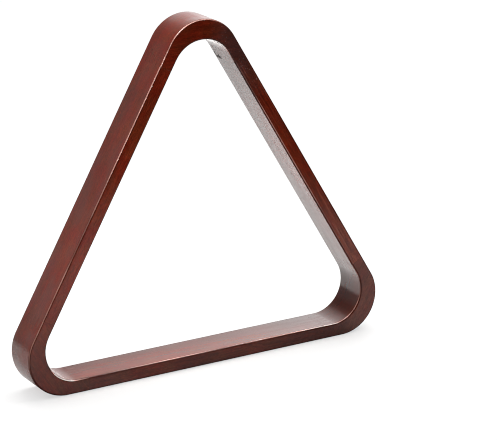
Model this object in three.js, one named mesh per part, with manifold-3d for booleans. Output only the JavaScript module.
// Triangle rack for fifteen pool balls: three straight hardwood rails joined by three
// shaped corner blocks, each glued to its rails by interlocking finger joints.
//
// Frame, in millimetres: the rack stands on the outer face of its bottom rail with the
// apex up. +X runs along the bottom rail, +Y is the depth (the front broad side faces -Y),
// +Z is up. The origin is the middle of the footprint, on the surface the rack stands on.
//
// The pieces are built about the centre of the opening, so that each rail and each block
// is one shape turned about Y. The rack is lifted onto its bottom rail at the end.

import * as THREE from 'three';
import { mergeVertices } from 'three/addons/utils/BufferGeometryUtils.js';
import Module from 'manifold-3d';

// ---- driving dimensions, mm -------------------------------------------------------

const BALL_DIAMETER = 57.15;      // standard pool ball
const BALLS_PER_SIDE = 5;
const BALL_CLEARANCE = 0.93;      // between the packed balls and each rail

const RAIL_THICKNESS = 11.25;     // inner face to outer face
const DEPTH = 33;                 // front face to back face: the rack's height on a table
const INNER_CORNER_RADIUS = 27;   // inside of the corner blocks
const OUTER_CORNER_RADIUS = 33;   // outside of the corner blocks, which are thicker than the rails
const EDGE_ROUND = 1.5;           // rounding of the long edges
const EDGE_STEPS = 3;             // facets in that rounding
const ARC_STEPS = 10;             // a corner arc has twice this many facets

const FINGER_START = 109;         // from the middle of a rail to the roots of its fingers
const FINGER_LENGTH = 10;
const FINGER_COUNT = 5;           // fingers on each rail end, side by side across the depth
const FINGER_PITCH = 5.6;
const FINGER_TIP = 0.8;           // width of the flat at a finger's tip, and between two roots
const GLUE_LINE = 0.2;            // space between a rail's fingers and the block's

// How far the cutting prism runs past the wood, so that no faces coincide.
const CUT_PAST_DEPTH = 4;         // beyond the front and back faces
const CUT_PAST_THICKNESS = 6;     // beyond the inner and outer faces of a rail

const WELD_TOLERANCE = 1e-5;      // vertices closer than this become one

// ---- derived dimensions -----------------------------------------------------------

// The inradius of the opening is that of the triangle through the corner balls' centres,
// plus one ball radius and the clearance.
const CENTRES_SIDE = (BALLS_PER_SIDE - 1) * BALL_DIAMETER;
const INNER_INRADIUS = CENTRES_SIDE / (2 * Math.sqrt(3)) + BALL_DIAMETER / 2 + BALL_CLEARANCE;
const OUTER_INRADIUS = INNER_INRADIUS + RAIL_THICKNESS;
const THIRD_TURN = (2 * Math.PI) / 3;

// ---- solids and geometries --------------------------------------------------------

const manifold = await Module();
manifold.setup();

// A closed three.js geometry as a solid that can be joined and cut. Normals and texture
// coordinates go first, because they would keep shared corners from merging.
function toSolid(geometry) {
  const bare = geometry.clone();
  bare.deleteAttribute('normal');
  bare.deleteAttribute('uv');
  const welded = mergeVertices(bare, WELD_TOLERANCE);
  return new manifold.Manifold(new manifold.Mesh({
    numProp: 3,
    vertProperties: new Float32Array(welded.attributes.position.array),
    triVerts: new Uint32Array(welded.index.array),
  }));
}

// A solid back as a three.js geometry.
function toGeometry(solid) {
  const { vertProperties, triVerts } = solid.getMesh();
  const geometry = new THREE.BufferGeometry();
  const positions = new THREE.BufferAttribute(new Float32Array(vertProperties), 3);
  geometry.setAttribute('position', positions);
  geometry.setIndex(new THREE.BufferAttribute(new Uint32Array(triVerts), 1));
  geometry.computeVertexNormals();
  return geometry;
}

// ---- the frame outline ------------------------------------------------------------

// An equilateral triangle about the origin with the given inradius and corner radius,
// apex towards +Y of the drawing, traced anticlockwise.
function roundedTriangle(path, inradius, radius) {
  const reach = 2 * (inradius - radius);   // from the centre to each corner arc's centre
  for (let k = 0; k < 3; k += 1) {
    const towards = Math.PI / 2 + k * THIRD_TURN;
    path.absarc(
      reach * Math.cos(towards), reach * Math.sin(towards), radius,
      towards - THIRD_TURN / 2, towards + THIRD_TURN / 2, false,
    );
  }
  path.closePath();
  return path;
}

// The whole rounded triangle as one ring with rounded long edges. Drawn in X-Y, then
// stood up so that the drawing's Y becomes Z.
function ringSolid() {
  const outline = roundedTriangle(new THREE.Shape(), OUTER_INRADIUS, OUTER_CORNER_RADIUS);
  outline.holes.push(roundedTriangle(new THREE.Path(), INNER_INRADIUS, INNER_CORNER_RADIUS));
  const straightDepth = DEPTH - 2 * EDGE_ROUND;
  const ring = new THREE.ExtrudeGeometry(outline, {
    depth: straightDepth,
    curveSegments: ARC_STEPS,
    bevelEnabled: true,
    bevelThickness: EDGE_ROUND,
    bevelSize: EDGE_ROUND,
    bevelOffset: -EDGE_ROUND,   // the rounding cuts into the outline instead of adding to it
    bevelSegments: EDGE_STEPS,
  });
  ring.translate(0, 0, -straightDepth / 2);
  ring.rotateX(Math.PI / 2);
  return toSolid(ring);
}

// ---- the finger joints ------------------------------------------------------------

// The line of the bottom rail's +X end across the depth, as X-Y points from front to back.
// Fingers taper from their roots to a narrow flat tip. Outside the outermost fingers the
// line runs straight on at the roots, past the front and back faces.
function fingerLine() {
  const root = FINGER_START;
  const tip = FINGER_START + FINGER_LENGTH;
  const lineEnd = DEPTH / 2 + CUT_PAST_DEPTH;
  const halfTip = FINGER_TIP / 2;
  const halfRoot = FINGER_PITCH / 2 - halfTip;
  const line = [new THREE.Vector2(root, -lineEnd)];
  for (let i = 0; i < FINGER_COUNT; i += 1) {
    const middle = (i - (FINGER_COUNT - 1) / 2) * FINGER_PITCH;
    line.push(
      new THREE.Vector2(root, middle - halfRoot),
      new THREE.Vector2(tip, middle - halfTip),
      new THREE.Vector2(tip, middle + halfTip),
      new THREE.Vector2(root, middle + halfRoot),
    );
  }
  line.push(new THREE.Vector2(root, lineEnd));
  return line;
}

// A front-to-back line moved sideways by a distance, towards +X when positive. Every
// stretch moves along its own normal, and the corners are where the moved stretches meet.
function movedSideways(line, distance) {
  const stretches = line.slice(1).map((end, i) => {
    const start = line[i];
    const along = end.clone().sub(start).normalize();
    const shift = new THREE.Vector2(along.y, -along.x).multiplyScalar(distance);
    return { from: start.clone().add(shift), to: end.clone().add(shift), along };
  });
  const corners = stretches.slice(1).map((next, i) => {
    const previous = stretches[i];
    const gap = next.from.clone().sub(previous.from);
    const travel = gap.cross(next.along) / previous.along.cross(next.along);
    return previous.from.clone().addScaledVector(previous.along, travel);
  });
  return [stretches[0].from, ...corners, stretches[stretches.length - 1].to];
}

// Everything between the two finger lines of the bottom rail, as a prism that runs
// vertically right through it. Growing it by a distance widens every finger.
function railPrism(grow) {
  const right = movedSideways(fingerLine(), grow);
  const left = right.map(({ x, y }) => new THREE.Vector2(-x, y)).reverse();
  const prism = new THREE.ExtrudeGeometry(new THREE.Shape([...right, ...left]), {
    depth: RAIL_THICKNESS + 2 * CUT_PAST_THICKNESS,
    bevelEnabled: false,
  });
  return prism.translate(0, 0, -OUTER_INRADIUS - CUT_PAST_THICKNESS);
}

// ---- the pieces -------------------------------------------------------------------

// The bottom rail: its stretch of the ring, short of the joint by half a glue line.
function bottomRail(ring) {
  return toGeometry(ring.intersect(toSolid(railPrism(-GLUE_LINE / 2))));
}

// The apex block: the ring with all three rails and half a glue line around them taken
// out, then only what lies in a box well above the centre of the opening.
function apexBlock(ring) {
  let blocks = ring;
  for (let k = 0; k < 3; k += 1) {
    blocks = blocks.subtract(toSolid(railPrism(GLUE_LINE / 2).rotateY(k * THIRD_TURN)));
  }
  const boxHeight = 2 * OUTER_INRADIUS;
  const boxBottom = INNER_INRADIUS / 2;   // clears the two lower blocks
  const box = new THREE.BoxGeometry(4 * OUTER_INRADIUS, 2 * DEPTH, boxHeight);
  box.translate(0, 0, boxBottom + boxHeight / 2);
  return toGeometry(blocks.intersect(toSolid(box)));
}

// Stained hardwood under semi-gloss lacquer. The blocks show more end grain, which takes
// the stain a little darker.
const RAIL_COLOUR = 0x6b2d20;
const BLOCK_COLOUR = 0x61271c;

function lacqueredWood(color) {
  return new THREE.MeshStandardMaterial({
    color, roughness: 0.34, metalness: 0, flatShading: true,
  });
}

function piece(name, geometry, turn, colour) {
  const mesh = new THREE.Mesh(geometry, lacqueredWood(colour));
  mesh.name = name;
  mesh.rotation.y = turn;
  return mesh;
}

const ring = ringSolid();
const rail = bottomRail(ring);
const block = apexBlock(ring);

const rack = new THREE.Group();
rack.position.z = OUTER_INRADIUS;
rack.add(
  piece('bottom_rail', rail, 0, RAIL_COLOUR),
  piece('left_rail', rail, THIRD_TURN, RAIL_COLOUR),
  piece('right_rail', rail, -THIRD_TURN, RAIL_COLOUR),
  piece('apex_corner', block, 0, BLOCK_COLOUR),
  piece('left_corner', block, -THIRD_TURN, BLOCK_COLOUR),
  piece('right_corner', block, THIRD_TURN, BLOCK_COLOUR),
);

const part = new THREE.Group();
part.add(rack);

export default part;
